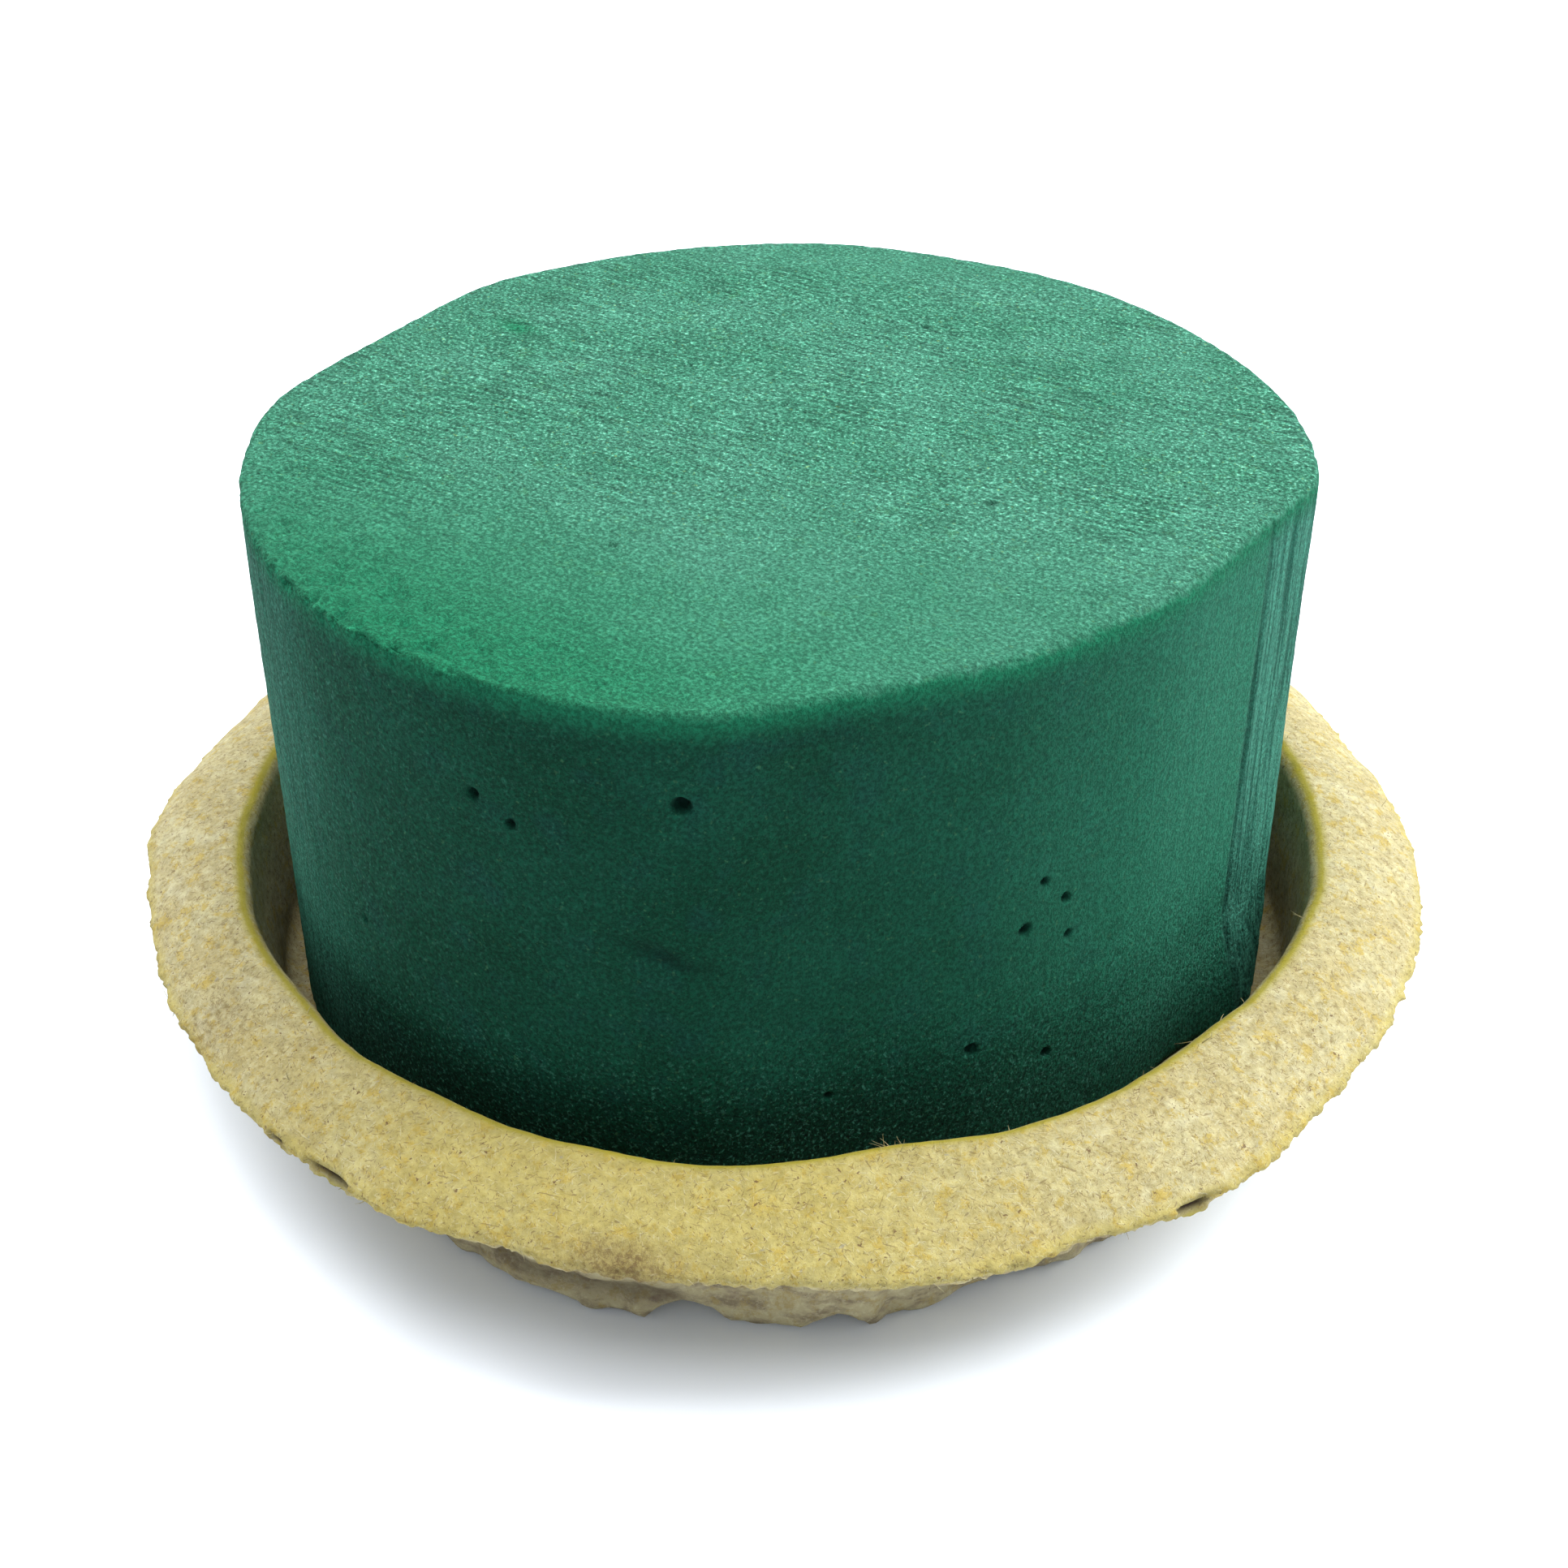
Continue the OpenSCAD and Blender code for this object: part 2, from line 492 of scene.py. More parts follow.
def finger_dent(points, angles, sideness):
    """How far each point is into the finger's dent, from 0 to 1."""
    around = angle_gap(angles, DENT_ANGLE) * math.radians(1) * FOAM_R
    tilt = (points[:, 2] - DENT_HEIGHT * MM) + 0.35 * around
    return np.exp(-(around / (3.6 * MM)) ** 2 - (tilt / (1.0 * MM)) ** 2) * sideness


def dust_smear(points, topness):
    """How far each point is into the smear that has no dust, from 0 to 1."""
    along = (points[:, 0] - SMEAR_X * MM) / (SMEAR_LONG * MM)
    across = (points[:, 1] - SMEAR_Y * MM) / (SMEAR_WIDE * MM)
    return topness * np.exp(-along ** 2 - across ** 2)


def foam_grit(points, angles, topness, near_rim):
    """How strongly the cut cells show as light and dark points."""
    toward = turned(points, -50)[:, 0]
    on_top = 1 - 0.62 * ease(toward, 6 * MM, 34 * MM) - 0.4 * ease(-toward, 38 * MM, 52 * MM)
    low_down = 1 - ease(points[:, 2], 14 * MM, 34 * MM)
    on_side = 0.12 + 0.80 * np.maximum(hump(angles, -132, 46), low_down)
    on_side = np.maximum(on_side, 0.75 * near_rim * hump(angles, -95, 40))
    return topness * on_top + (1 - topness) * on_side


def foam_relief(points, normals):
    """The foam as cut, scraped, rubbed and pitted: moved points, and wear, painted light and painted shade
    for the material to read.
    """
    angles = np.arctan2(points[:, 1], points[:, 0])
    radii = np.hypot(points[:, 0], points[:, 1])
    height = points[:, 2]
    topness = ease(normals[:, 2], 0.55, 0.95)
    sideness = 1 - ease(np.abs(normals[:, 2]), 0.3, 0.8)
    # Low waves from cutting, then the saw's ridges and the scraped streaks.
    lift = 0.10 * smooth_noise(points, 22 * MM, 11) + 0.05 * rough_noise(points, 1.7 * MM, 21)
    lift += saw_ridges(points, topness)
    scraped_and_lit, streaks = scrapes_and_side_light(points, angles, sideness)
    lift += streaks
    crease = hump(angles, CREASE_ANGLE, 0.55) * sideness * (0.75 + 0.25 * smooth_noise(points, 9 * MM, 43))
    lift -= 0.4 * crease
    # The top edge is nibbled, most of all on the near left.
    depth = foam_high.z - height
    near_rim = np.exp(-(depth / (1.6 * MM)) ** 2) * ease(radii, 44 * MM, 50 * MM)
    nibbled = 0.08 + 0.9 * hump(angles, -84, 30)
    crumbs = np.clip(rough_noise(points, 1.7 * MM, 51) + 0.2, 0, 1.4)
    lift -= near_rim * nibbled * 0.75 * crumbs
    moved = points + normals * (lift * MM)[:, None]
    # The dent, the open cells and the crease get painted shade inside.
    dent = finger_dent(points, angles, sideness)
    moved -= normals * (0.45 * MM * dent)[:, None]
    hollow = 0.75 * dent * np.clip(0.8 + 0.6 * rough_noise(points, 1.5 * MM, 61), 0, 1)
    for point, size, inward, strength in pit_places():
        distance = np.linalg.norm(points - point, axis=1)
        wobble = 1 + 0.14 * smooth_noise(points, size * 0.8, 62)
        pit = 1 - ease(distance * wobble, 0.22 * size, 0.62 * size)
        moved += inward * (0.7 * strength * size * pit)[:, None]
        hollow = np.maximum(hollow, strength * pit)
    hollow = np.maximum(hollow, 0.55 * crease)
    # The top stays at the block's own height, and the underside stays flat on the glue.
    flat = height < foam_low.z + 0.1 * MM
    moved[flat] = points[flat]
    moved[:, 2] = np.minimum(moved[:, 2], foam_high.z + 0.05 * MM)
    # The near side of the top is painted darker and a deeper green as painted shade; the smear, which has
    # no dust, is a deeper green too.
    smear = dust_smear(points, topness)
    near_shade_and_smear = np.maximum(hump(angles, -76, 46) * ease(radii, 24 * MM, 54 * MM), smear)
    moved[:, 2] -= 0.25 * MM * smear
    # Painted light: the side is painted paler towards the right, where the key lamp falls, and again on
    # the left, where the rim lamp falls.
    gap = angle_gap(angles, 0)
    painted_side_light = ease(gap, -42, 32) * (1 - ease(gap, 80, 120)) * (0.55 + 0.45 * ease(height, 5 * MM, 24 * MM))
    painted_side_light = sideness * (painted_side_light + 0.95 * hump(angles, -136, 34))
    grit = foam_grit(points, angles, topness, near_rim)
    return moved, {"scraped_and_lit": scraped_and_lit, "hollow": hollow, "near_shade_and_smear": near_shade_and_smear, "painted_side_light": painted_side_light, "grit": grit}


def foam_material():
    """Open-celled phenolic foam: matt, deep green where moulded, paler and dusty where it was sawn."""
    s = Shader("floral_foam_green")
    saw = s.stretched(SAW_ANGLE, (9, 1, 9))
    upright = s.stretched(0, (1, 1, 26))
    fine = s.span(s.noise(0.42 * MM, 3, 0.8), 0.32, 0.68)
    pores = s.span(s.cells(0.72 * MM), 0.10, 0.34, 1.0, 0.0)
    glints = s.span(s.noise(0.36 * MM, 2, 0.6), 0.58, 0.72)
    specks = s.span(s.noise(0.55 * MM, 1, 0.5), 0.68, 0.76)
    patches = s.noise(13 * MM, 3, 0.5)
    ridges = s.noise(0.56 * MM, 3, 0.65, saw)
    streaks = s.noise(0.60 * MM, 3, 0.6, upright)
    # Sawn top
    top = s.mix(s.span(patches, 0.3, 0.7), (0.031, 0.143, 0.087), (0.043, 0.165, 0.107))
    top = s.mix(s.span(s.noise(2.4 * MM, 2, 0.6), 0.60, 0.78, 0.0, 0.25), top, (0.055, 0.17, 0.055))
    grit = s.painted("grit")
    dust = s.times(grit, s.span(s.noise(0.42 * MM, 2, 0.7), 0.56, 0.71, 0.0, 0.62))
    top = s.mix(dust, top, (0.125, 0.300, 0.225))
    top = s.mix(s.times(specks, s.times(grit, 0.6)), top, (0.130, 0.210, 0.060))
    # Painted shade on the near side of the top, plus the dust-free smear: a deeper, darker green.
    top = s.mix(s.times(s.painted("near_shade_and_smear"), 0.95), top, (0.008, 0.118, 0.055))
    sawn = s.span(s.noise(17 * MM, 2, 0.5), 0.40, 0.62, 0.45, 1.0)
    sawn = s.times(sawn, s.span(grit, 0.35, 0.95, 0.35, 1.0))
    scored = s.times(sawn, s.span(ridges, 0.38, 0.62, -0.38, 0.22))
    top = s.shade(top, s.math("ADD", 1.0, scored))
    # Moulded side
    side = s.mix(s.span(patches, 0.3, 0.7), (0.0020, 0.036, 0.0185), (0.0034, 0.046, 0.0260))
    side = s.mix(s.span(s.noise(5 * MM, 2, 0.6), 0.5, 0.75, 0, 0.35), side, (0.005, 0.038, 0.034))
    # Painted shade: the side is darker towards the bottom, where the dish shades it.
    side = s.shade(side, s.span(s.height(), 10 * MM, 27 * MM, 0.55, 1.0))
    # Painted light on the lit right and left of the side: a paler teal.
    side = s.mix(s.times(s.painted("painted_side_light"), 0.85), side, (0.0150, 0.122, 0.071))
    # Scraped foam is paler and streaked; the same mix also stands for painted light on the lit right and
    # left of the side.
    scraped_and_lit = s.painted("scraped_and_lit")
    bare_and_lit = s.mix(s.span(streaks, 0.35, 0.62), (0.009, 0.060, 0.042), (0.045, 0.185, 0.130))
    side = s.mix(s.span(scraped_and_lit, 0.1, 1.0, 0, 0.8), side, bare_and_lit)
    side = s.mix(s.times(specks, 0.30), side, (0.050, 0.140, 0.065))
    glitter = s.span(s.noise(0.40 * MM, 2, 0.6), 0.54, 0.68, 0.0, 0.85)
    side = s.mix(s.times(glitter, grit), side, (0.034, 0.130, 0.092))
    # The rubbed rim between the two is a more saturated green.
    waver = s.math("SUBTRACT", s.noise(1.6 * MM, 3, 0.6), 0.5)
    edge = s.math("ADD", s.height(), s.times(waver, 1.8 * MM))
    rim = foam_high.z
    body = s.mix(s.span(edge, rim - 3.8 * MM, rim - 0.5 * MM), side, (0.007, 0.105, 0.052))
    body = s.mix(s.span(edge, rim - 1.0 * MM, rim - 0.1 * MM), body, top)
    speckled = s.shade(body, s.span(fine, 0.0, 1.0, 0.45, 1.42))
    speckled = s.shade(speckled, s.span(pores, 0.0, 1.0, 1.0, 0.50))
    speckled = s.shade(speckled, s.span(glints, 0.0, 1.0, 1.0, 1.80))
    calm = s.shade(s.shade(body, s.span(fine, 0.0, 1.0, 0.70, 1.18)), s.span(pores, 0.0, 1.0, 1.0, 0.80))
    body = s.mix(grit, calm, speckled)
    # Painted shade inside the open cells, the dent and the crease.
    body = s.mix(s.painted("hollow"), body, (0.001, 0.008, 0.006))
    relief = s.bump(fine, 0.18 * MM, 0.8)
    relief = s.bump(s.times(streaks, scraped_and_lit), 0.35 * MM, 0.7, relief)
    relief = s.bump(s.times(ridges, grit), 0.10 * MM, 0.4, relief)
    return s.wear(body, 0.92, relief, Specular_IOR_Level=0.08)


def make_foam():
    piece = lathe("foam_round", foam_rings(), (0, 0, foam_high.z), (0, 0, foam_low.z))
    refine_near(piece, pit_places())
    moved, wear = foam_relief(points_of(piece), normals_of(piece))
    move_points(piece, moved)
    # The wear marks, the painted light and the painted shade go to the material as attributes.
    for name, values in wear.items():
        paint(piece, name, values)
    finish_piece(piece, foam_material())
    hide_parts("floral_foam")


# ----------------------------------------------------------------------------------------------- dish

def arc(centre, radius, start, end, steps=24):
    """Points in mm on an arc between two angles in degrees."""
    turns = np.radians(np.linspace(start, end, steps + 1))
    return [(centre[0] + radius * math.cos(t), centre[1] + radius * math.sin(t)) for t in turns]


def resample(points, step):
    """The same line with points about one step apart, and each point's share of the way along it."""
    points = np.array(points, float)
    lengths = np.concatenate([[0], np.cumsum(np.linalg.norm(np.diff(points, axis=0), axis=1))])
    count = max(2, int(round(lengths[-1] / step)) + 1)
    wanted = np.linspace(0, lengths[-1], count)
    line = [np.interp(wanted, lengths, points[:, axis]) for axis in (0, 1)]
    return list(zip(wanted / lengths[-1], *line))


def dish_section():
    """Half of the dish's section as (part, share along the part, radius, height), from the CAD's arcs.

    It runs from the middle of the floor out along the inside, over the flange and back below.
    """
    crest_z = dish_high.z / MM
    plateau_z = BASE_RECESS + PULP_T
    slope = math.degrees(math.atan(FLANGE_DROP / FLANGE_W))
    half_arch = math.degrees(math.asin(math.hypot(FLANGE_W, FLANGE_DROP) / 2 / FLANGE_BOW_R))
    crest_angle, edge_angle = 90 - slope + half_arch, 90 - slope - half_arch
    wall_h = crest_z - RIM_ROUND - PULP_T - FLOOR_ROUND
    draft = math.degrees(math.atan((WELL_MOUTH_R - WELL_FLOOR_R) / wall_h))
    cos_draft = math.cos(math.radians(draft))

    def out_from(centre, radius, angle):
        turn = math.radians(angle)
        return (centre[0] + radius * math.cos(turn), centre[1] + radius * math.sin(turn))

    rim_c = (WELL_MOUTH_R + RIM_ROUND * cos_draft, crest_z - RIM_ROUND)
    arch_c = out_from(rim_c, -(FLANGE_BOW_R - RIM_ROUND), crest_angle)
    floor_c = (WELL_FLOOR_R - FLOOR_ROUND * cos_draft, PULP_T + FLOOR_ROUND)
    foot_c = (WELL_FLOOR_R + PULP_T - FOOT_ROUND, FOOT_ROUND)
    under_r = FLANGE_BOW_R - PULP_T
    corner_r = WELL_MOUTH_R + PULP_T * cos_draft + UNDER_ROUND
    corner_angle = math.degrees(math.acos((corner_r - arch_c[0]) / (under_r - UNDER_ROUND)))
    corner_c = out_from(arch_c, under_r - UNDER_ROUND, corner_angle)
    edge_in_r, edge_out_r = FLANGE_BOW_R - EDGE_ROUND, under_r + EDGE_ROUND
    edge_back = edge_angle + math.degrees(math.asin(EDGE_ROUND / edge_in_r))
    rim_arc = arc(rim_c, RIM_ROUND, 180 - draft, crest_angle)
    floor_arc = arc(floor_c, FLOOR_ROUND, -90, -draft)
    corner_arc = arc(corner_c, UNDER_ROUND, corner_angle, 180 - draft)
    foot_arc = arc(foot_c, FOOT_ROUND, 0, -90)
    edge_top_c = out_from(arch_c, edge_in_r, edge_back)
    edge_low_c = out_from(arch_c, edge_out_r, edge_back)
    edge_line = arc(edge_top_c, EDGE_ROUND, edge_back, edge_angle - 90)
    edge_line += arc(edge_low_c, EDGE_ROUND, edge_angle - 90, edge_back - 180)
    inner, outer = PLATEAU_R - BASE_RECESS, PLATEAU_R + BASE_RECESS
    parts = (
        ("floor", [(1.5, plateau_z), (inner, plateau_z), (outer, PULP_T)] + floor_arc[:1], 1.8),
        ("well", floor_arc + rim_arc[:1], 0.8),
        ("crest", rim_arc, 0.45),
        ("flange", arc(arch_c, FLANGE_BOW_R, crest_angle, edge_back), 0.62),
        ("edge", edge_line, 0.34),
        ("under", arc(arch_c, under_r, edge_back, corner_angle), 0.7),
        ("wall", corner_arc + foot_arc[:1], 0.75),
        ("foot", foot_arc, 0.5),
        ("base", [foot_arc[-1], (outer, 0), (inner, BASE_RECESS), (1.5, BASE_RECESS)], 2.2),
    )
    rows = []
    for part, line, step in parts:
        for share, radius, height in resample(line, step)[0 if part == "floor" else 1:]:
            rows.append((part, share, radius, height))
    return rows


def sum_bumps(angles, bumps):
    """The bumps added up around the ring, in mm."""
    total = np.zeros(len(angles))
    for centre, width, amount in bumps:
        total += amount * hump(angles, centre, width)
    return total


def pulls(part, share, radius):
    """How strongly the crest's, the edge's, the foot's and the whole flange's wandering move this ring."""
    crest = {"well": ease(share, 0.2, 1), "crest": 1, "flange": 1 - share, "under": share,
             "wall": 1 - ease(share, 0.1, 0.9)}
    edge = {"flange": ease(share, 0, 1), "edge": 1, "under": 1 - share}
    foot = {"wall": ease(share, 0.05, 0.8), "foot": 1, "base": ease(radius, 50, 60)}
    flange = {"well": ease(share, 0.7, 1), "crest": 1, "flange": 1, "edge": 1, "under": 1,
              "wall": 1 - ease(share, 0, 0.3)}
    return [pull.get(part, 0) for pull in (crest, edge, foot, flange)]


def edge_openings(part, share, angles):
    """Splits along the edge face over a thin lip: how far they move the ring out and up, in mm."""
    outward = np.zeros(len(angles))
    upward = np.zeros(len(angles))
    level = share if part == "edge" else 1 + share * 3
    opened = math.exp(-((level - 0.26) / 0.19) ** 2)
    lip = math.exp(-((level - 0.75) / 0.2) ** 2)
    for centre, width, amount in EDGE_SPLITS:
        reach = np.clip(1 - (angle_gap(angles, centre) / width) ** 2, 0, 1) ** 0.5
        outward += amount * reach * (0.35 * lip - opened)
        upward -= 0.35 * amount * reach * lip
    return outward, upward


def foot_gaps(part, radius, height, angles, circle):
    """How far the notches and the uneven foot lift this ring off the table, in mm."""
    if part not in ("base", "foot", "wall"):
        return np.zeros(len(angles))
    notch = np.zeros(len(angles))
    for centre, width, amount in FOOT_NOTCHES:
        notch = np.maximum(notch, amount * np.clip(1 - (angle_gap(angles, centre) / width) ** 2, 0, 1))
    uneven = 0.25 * np.clip(rough_noise(circle, 5 * MM, 141) - 0.1, 0, 1)
    low = 1 - ease(height, 0.5, 5.0)
    return (notch + uneven) * low * ease(radius, 53, 58.5)


def dish_ring(part, share, radius, height):
    """One ring of the dish in metres, with the wandering, notches and splits of moulded pulp."""
    count = DISH_SEGMENTS * (2 if part == "edge" else 1)
    shrink = radius / 60
    while shrink < 0.5 and count > 40:
        shrink *= 2
        count //= 2
    angles = ring_angles(count)
    circle = ring_points(angles, 60 * MM, 0.0)
    crest_way = sum_bumps(angles, CREST_BUMPS) + 0.30 * rough_noise(circle, 14 * MM, 101)
    edge_way = EDGE_SPREAD + sum_bumps(angles, EDGE_BUMPS) + 0.32 * rough_noise(circle, 7 * MM, 111)
    foot_way = sum_bumps(angles, FOOT_BULGES) + 0.45 * rough_noise(circle, 8 * MM, 121)
    heave = 0.38 * rough_noise(circle, 24 * MM, 131, 2)
    crest_pull, edge_pull, foot_pull, flange_pull = pulls(part, share, radius)
    radii = radius + crest_pull * crest_way + edge_pull * edge_way + foot_pull * foot_way
    heights = height + flange_pull * heave
    if part in ("edge", "under"):
        outward, upward = edge_openings(part, share, angles)
        radii = radii + outward
        heights = heights + upward
    heights = heights + foot_gaps(part, radius, height, angles, circle)
    return ring_points(angles, radii * MM, heights * MM)


def pulp_groove(points):
    """How far each point is into the groove, from 0 to 1."""
    angles = np.arctan2(points[:, 1], points[:, 0])
    level = points[:, 2] / MM - GROOVE_HEIGHT - 0.5 * smooth_noise(points, 6 * MM, 201)
    return (1 - ease(np.abs(angle_gap(angles, GROOVE_ANGLE)), 7, 13)) * np.exp(-(level / 1.4) ** 2)


def dish_relief(points, normals, parts):
    """Rough pulp: smoother on the mould side, lumpy below, with a ragged outer edge and the groove."""
    below = np.isin(parts, ("under", "wall", "foot", "base"))
    lift = 0.12 * smooth_noise(points, 6 * MM, 151) + 0.05 * rough_noise(points, 2.1 * MM, 161)
    lumps = 0.34 * rough_noise(points, 4.4 * MM, 171) + 0.16 * rough_noise(points, 1.8 * MM, 181)
    ragged = 0.34 * rough_noise(points, 1.15 * MM, 191) + 0.24 * smooth_noise(points, 3.4 * MM, 195)
    lift += np.where(below, lumps - GROOVE_DEPTH * pulp_groove(points), 0)
    lift += np.where(parts == "edge", ragged, 0)
    moved = points + normals * (lift * MM)[:, None]
    moved[:, 2] = np.maximum(moved[:, 2], 0)
    return moved


def dish_marks_and_shade(points, parts, shares):
    """What the pulp material reads: the rough outside with painted shade, the golden crest, stains,
    painted shade in the splits and the groove, and a golden tint.
    """
    angles = np.arctan2(points[:, 1], points[:, 0])
    radii = np.hypot(points[:, 0], points[:, 1])
    on_edge = parts == "edge"
    on_flange = parts == "flange"
    on_top = on_flange | on_edge
    # The near side, the outer flange and the edge face are tinted more golden.
    gold_tint = 1.3 * hump(angles, -52, 30) + 0.9 * on_edge + 0.9 * on_flange * ease(shares, 0.88, 1)
    # Painted shade on the underside, the outer wall and the foot, which are also the greyer, rougher side
    # of the pulp.
    outside = np.isin(parts, ("under", "wall", "foot")) + on_edge * ease(shares, 0.35, 0.8)
    outside = outside + 0.55 * (parts == "base")
    crest = (parts == "crest") * np.exp(-((shares - 0.65) / 0.20) ** 2)
    stain_band = ease(radii, 69 * MM, 71.5 * MM) * (1 - ease(radii, 75 * MM, 76.5 * MM))
    stain = on_top * hump(angles, STAIN_ANGLE, 4.3) * stain_band
    stain += 0.45 * on_top * hump(angles, FAINT_STAIN_ANGLE, 3.0) * ease(radii, 65 * MM, 67 * MM)
    stain += 0.35 * on_top * hump(angles, BACK_STAIN_ANGLE, 4.0) * ease(radii, 64 * MM, 68 * MM)
    # The groove under the flange and the inside of each split get painted shade, and each split has a lip
    # as golden as the crest.
    split_and_groove_shade = 0.60 * np.isin(parts, ("wall", "foot")) * pulp_groove(points)
    for centre, width, amount in EDGE_SPLITS:
        reach = np.clip(1 - (angle_gap(angles, centre) / width) ** 2, 0, 1)
        slot = on_edge * reach * min(1, 1.4 * amount)
        split_and_groove_shade += slot * (1 - ease(shares, 0.46, 0.62))
        crest += slot * np.exp(-((shares - 0.74) / 0.12) ** 2)
    return {"gold_tint": gold_tint, "outside": outside, "crest": crest, "stain": stain, "split_and_groove_shade": split_and_groove_shade}


def pulp_material():
    """Moulded grey-board pulp: matt tan with short fibres, and yellow, brown and blue-grey flecks."""
    s = Shader("moulded_pulp")
    cloud = s.noise(8 * MM, 3, 0.55)
    grain = s.noise(0.8 * MM, 5, 0.8)
    tan = s.mix(s.span(cloud, 0.3, 0.7), (0.340, 0.282, 0.134), (0.385, 0.340, 0.185))
    tan = s.mix(s.span(grain, 0.37, 0.49, 0.80, 0), tan, (0.225, 0.172, 0.070))
    tan = s.mix(s.span(grain, 0.53, 0.66, 0, 0.50), tan, (0.485, 0.445, 0.285))
    pale = s.span(s.noise(3.0 * MM, 3, 0.6), 0.54, 0.70, 0, 0.55)
    tan = s.mix(pale, tan, (0.445, 0.408, 0.260))
    tan = s.mix(s.times(s.painted("gold_tint"), 0.62), tan, (0.352, 0.282, 0.060))
    golden = s.span(s.noise(2.0 * MM, 5, 0.78), 0.52, 0.62, 0, 0.72)
    tan = s.mix(golden, tan, (0.345, 0.245, 0.043))
    tan = s.shade(tan, s.span(s.noise(1.2 * MM, 4, 0.7), 0.34, 0.66, 0.87, 1.13))
    fibres = s.strands(((10, 0.22), (55, 0.20), (100, 0.23), (145, 0.19)), (7, 1, 2), 0.65, 0.76)
    dark_fibres = s.strands(((32, 0.24), (78, 0.20), (120, 0.22), (165, 0.20)), (5, 1, 1.5), 0.66, 0.74)
    tan = s.mix(s.times(fibres, 0.30), tan, (0.54, 0.50, 0.34))
    tan = s.mix(s.times(dark_fibres, 0.60), tan, (0.15, 0.095, 0.04))
    brown = s.span(s.noise(0.75 * MM, 2, 0.7), 0.675, 0.72, 0, 0.85)
    tan = s.mix(brown, tan, (0.12, 0.065, 0.03))
    blue = s.span(s.noise(0.8 * MM, 2, 0.5, s.stretched(70, (1.5, 1, 1))), 0.70, 0.78, 0, 0.4)
    tan = s.mix(blue, tan, (0.18, 0.19, 0.21))
    # The side away from the mould is greyer and mottled, and painted shade darkens it; the crest is a more
    # golden olive.
    layers = s.noise(2.2 * MM, 4, 0.65, s.stretched(0, (1.6, 1.6, 0.8)))
    grey = s.mix(s.span(layers, 0.34, 0.58), (0.195, 0.152, 0.098), (0.400, 0.345, 0.200))
    grey = s.mix(s.span(grain, 0.5, 0.64, 0, 0.5), grey, (0.520, 0.465, 0.295))
    plum = s.span(s.noise(3.0 * MM, 3, 0.6, s.stretched(0, (1.4, 1.4, 0.9))), 0.58, 0.70, 0, 0.5)
    grey = s.mix(plum, grey, (0.170, 0.115, 0.100))
    grey = s.mix(s.times(golden, 0.7), grey, (0.300, 0.215, 0.060))
    # The outside: greyer mottled pulp, darkened with painted shade.
    tan = s.mix(s.times(s.painted("outside"), 0.9), tan, grey)
    tan = s.mix(s.times(s.painted("crest"), 0.95), tan, (0.285, 0.238, 0.014))
    stain = s.times(s.painted("stain"), s.span(grain, 0.40, 0.56, 1.0, 0.45))
    tan = s.mix(stain, tan, (0.140, 0.092, 0.036))
    # Painted shade in the groove under the flange and inside the splits.
    tan = s.mix(s.painted("split_and_groove_shade"), tan, (0.040, 0.024, 0.016))
    relief = s.bump(s.noise(0.46 * MM, 5, 0.8), 0.20 * MM, 0.9)
    relief = s.bump(fibres, 0.07 * MM, 0.5, relief)
    relief = s.bump(s.noise(2.0 * MM, 3, 0.6), 0.34 * MM, 0.5, relief)
    return s.wear(tan, 0.93, relief, Specular_IOR_Level=0.2)


def make_dish(pulp):
    """Makes the dish, and says which part of the section each of its vertices is on."""
    rows = dish_section()
    rings = [dish_ring(*row) for row in rows]
    piece = lathe("pulp_dish_body", rings, (0, 0, rows[0][3] * MM), (0, 0, rows[-1][3] * MM))
    counts = [len(ring) for ring in rings]
    parts = np.concatenate([["floor"], np.repeat([row[0] for row in rows], counts), ["base"]])
    shares = np.concatenate([[0.0], np.repeat([row[1] for row in rows], counts), [1.0]])
    points = dish_relief(points_of(piece), normals_of(piece), parts)
    move_points(piece, points)
    for name, values in dish_marks_and_shade(points, parts, shares).items():
        paint(piece, name, values)
    finish_piece(piece, pulp)
    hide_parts("pulp_dish")
    return piece, parts


def fibre_roots(rng, points, parts):
    """Vertex numbers where the loose fibres start, and how many of them come before the tufts."""
    roots = [rng.choice(np.flatnonzero(parts == part), count) for part, count in FIBRE_COUNTS]
    angles = np.arctan2(points[:, 1], points[:, 0])
    for centre, width, count in FIBRE_TUFTS:
        near = np.abs(angle_gap(angles, centre)) < width
        roots.append(rng.choice(np.flatnonzero(near & (parts == "crest")), count))
    return np.concatenate(roots), sum(count for part, count in FIBRE_COUNTS)


def fibre_line(rng, point, normal, tuft):
    """Middle points of one bent fibre, two directions across it, and its half width."""
    steps = 6
    length = rng.uniform(0.8, 1.9) * MM if tuft else rng.uniform(0.4, 1.3) * MM
    width = rng.uniform(0.035, 0.07) * MM
    lie = normal * (0.75 if tuft else 0.35) + rng.normal(size=3) * 0.6
    lie /= np.linalg.norm(lie)
    bend = rng.normal(size=3) * 0.9
    across = np.cross(lie, (0.3, 0.2, 1.0))
    across /= np.linalg.norm(across)
    shares = np.linspace(0, 1, steps)
    sunk = point - normal * 0.1 * MM
    line = [sunk + lie * length * share + bend * length * 0.35 * share ** 2 for share in shares]
    return line, across, np.cross(lie, across), width


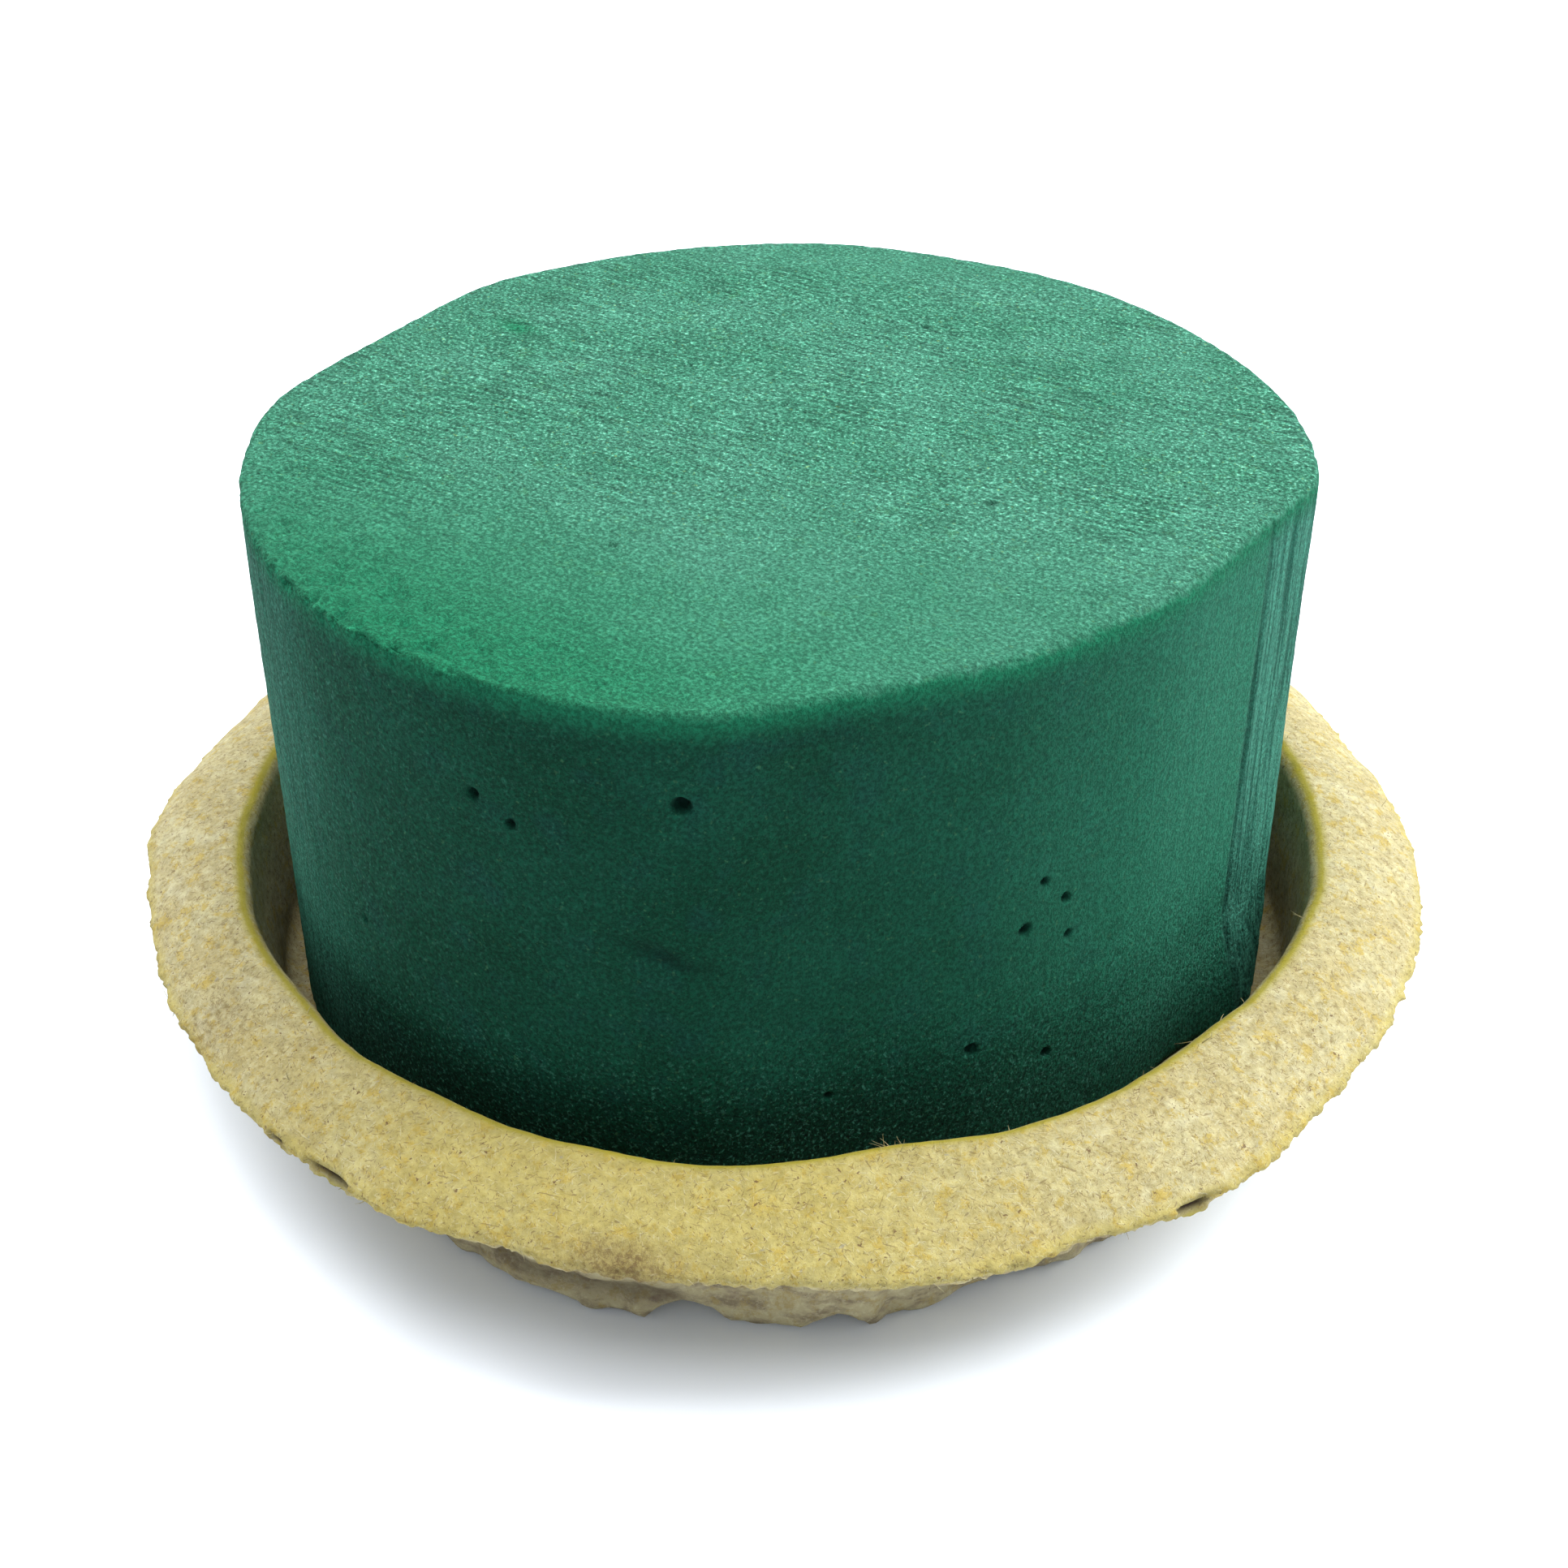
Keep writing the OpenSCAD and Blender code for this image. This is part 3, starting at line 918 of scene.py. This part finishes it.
def add_tube(verts, faces, line, across, up, width):
    """A closed four-sided tube along the line, thinner towards its end."""
    sides = 4
    start = len(verts)
    last = start + (len(line) - 1) * sides
    for step, centre in enumerate(line):
        radius = width * (1 - 0.75 * step / (len(line) - 1))
        for side in range(sides):
            turn = 2 * math.pi * side / sides
            verts.append(centre + radius * (math.cos(turn) * across + math.sin(turn) * up))
    for ring in range(start, last, sides):
        for side in range(sides):
            a = ring + side
            b = ring + (side + 1) % sides
            faces.append((a, b, b + sides, a + sides))
    faces.append(tuple(start + side for side in reversed(range(sides))))
    faces.append(tuple(last + side for side in range(sides)))


def make_fibres(dish, parts, pulp):
    """Loose fibres that stand out of the pulp, with longer ones in the tufts, as one piece."""
    rng = np.random.default_rng(7)
    points, normals = points_of(dish), normals_of(dish)
    roots, first_tuft = fibre_roots(rng, points, parts)
    verts, faces = [], []
    for number, root in enumerate(roots):
        line, across, up, width = fibre_line(rng, points[root], normals[root], number >= first_tuft)
        add_tube(verts, faces, line, across, up, width)
    mesh = bpy.data.meshes.new("pulp_fibres")
    mesh.from_pydata([tuple(vert) for vert in verts], [], faces)
    piece = bpy.data.objects.new("pulp_fibres", mesh)
    bpy.context.scene.collection.objects.link(piece)
    finish_piece(piece, pulp)


# ----------------------------------------------------------------------------------------------- glue

def glue_material():
    """Hot-melt glue: cloudy amber with a soft shine."""
    s = Shader("hot_melt_glue")
    cloud = s.noise(3 * MM, 3, 0.5)
    colour = s.mix(s.span(cloud, 0.3, 0.7), (0.62, 0.50, 0.27), (0.78, 0.70, 0.48))
    return s.wear(colour, s.span(cloud, 0.2, 0.8, 0.28, 0.45), s.bump(s.noise(1.2 * MM), 0.1 * MM, 0.4),
                  Subsurface_Weight=0.2, Subsurface_Scale=0.002)


def make_dab(node, number, material):
    """A dab squeezed flat, with an uneven rounded rim."""
    low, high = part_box(node)
    centre = (low + high) / 2
    up = Vector((0, 0, (high.z - low.z) / 2))
    radius = (high.x - low.x) / 2
    half = up.z
    angles = ring_angles(64)
    circle = ring_points(angles, radius, 0.0) + np.array(centre)
    squeeze = 0.93 + 0.05 * rough_noise(circle, 5 * MM, 200 + 10 * number, 2)
    rings = []
    for share in (0.35, 0.7):
        rings.append(ring_points(angles, share * radius * squeeze, half))
    for turn in np.linspace(90, -90, 9):
        swell = radius * squeeze - half * (1 - math.cos(math.radians(turn)))
        rings.append(ring_points(angles, swell, half * math.sin(math.radians(turn))))
    for share in (0.7, 0.35):
        rings.append(ring_points(angles, share * radius * squeeze, -half))
    rings = [ring + np.array(centre) for ring in rings]
    piece = lathe(f"hot_melt_dab_{number}", rings, centre + up, centre - up)
    finish_piece(piece, material)
    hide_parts(node)


# -------------------------------------------------------------------------------------- floor and light

def make_floor():
    mesh = bpy.data.meshes.new("floor")
    reach = 3.0
    low = -0.05 * MM
    corners = [(-reach, -reach, low), (reach, -reach, low), (reach, reach, low), (-reach, reach, low)]
    mesh.from_pydata(corners, [], [(0, 1, 2, 3)])
    floor = bpy.data.objects.new("floor", mesh)
    bpy.context.scene.collection.objects.link(floor)
    s = Shader("studio_floor")
    mesh.materials.append(s.wear((0.865, 0.89, 0.935, 1), 0.95, Specular_IOR_Level=0.1))


def add_light(name, degrees, elevation, distance, size, watts, colour=(1, 1, 1)):
    """A square soft light that looks at the middle of the object."""
    data = bpy.data.lights.new(name, "AREA")
    data.size = size
    data.energy = watts
    data.color = colour
    light = bpy.data.objects.new(name, data)
    turn, rise = math.radians(degrees), math.radians(elevation)
    aim = Vector((0, 0, 0.03))
    away = Vector((math.cos(rise) * math.cos(turn), math.cos(rise) * math.sin(turn), math.sin(rise)))
    light.location = aim + away * distance
    light.rotation_euler = away.to_track_quat("Z", "Y").to_euler()
    bpy.context.scene.collection.objects.link(light)


def make_lights():
    add_light("key_right", 64, 38, 0.75, 0.55, 10.4, (0.95, 0.985, 1.0))
    add_light("top_back", 150, 72, 0.85, 0.7, 2.9)
    add_light("top_front", -40, 80, 0.8, 0.6, 4.3)
    add_light("rim_left", -168, 32, 0.8, 0.4, 5.3, (0.95, 0.98, 1.0))
    world = bpy.data.worlds.new("studio")
    world.use_nodes = True
    world.node_tree.nodes["Background"].inputs["Color"].default_value = (0.86, 0.93, 1.0, 1)
    world.node_tree.nodes["Background"].inputs["Strength"].default_value = 0.78
    bpy.context.scene.world = world
    bpy.context.scene.view_settings.view_transform = "Standard"


def make_camera():
    data = bpy.data.cameras.new("camera")
    data.lens = CAMERA_LENS
    data.sensor_width = 36
    data.clip_start = 0.005
    camera = bpy.data.objects.new("camera", data)
    camera.location = CAMERA_PLACE
    look = Vector(CAMERA_TARGET) - Vector(CAMERA_PLACE)
    camera.rotation_euler = look.to_track_quat("-Z", "Y").to_euler()
    bpy.context.scene.collection.objects.link(camera)
    bpy.context.scene.camera = camera


make_camera()
make_lights()
make_floor()
make_foam()
pulp = pulp_material()
dish, dish_parts = make_dish(pulp)
make_fibres(dish, dish_parts, pulp)
glue = glue_material()
for number in range(1, 6):
    make_dab(f"glue_dab_{number}", number, glue)
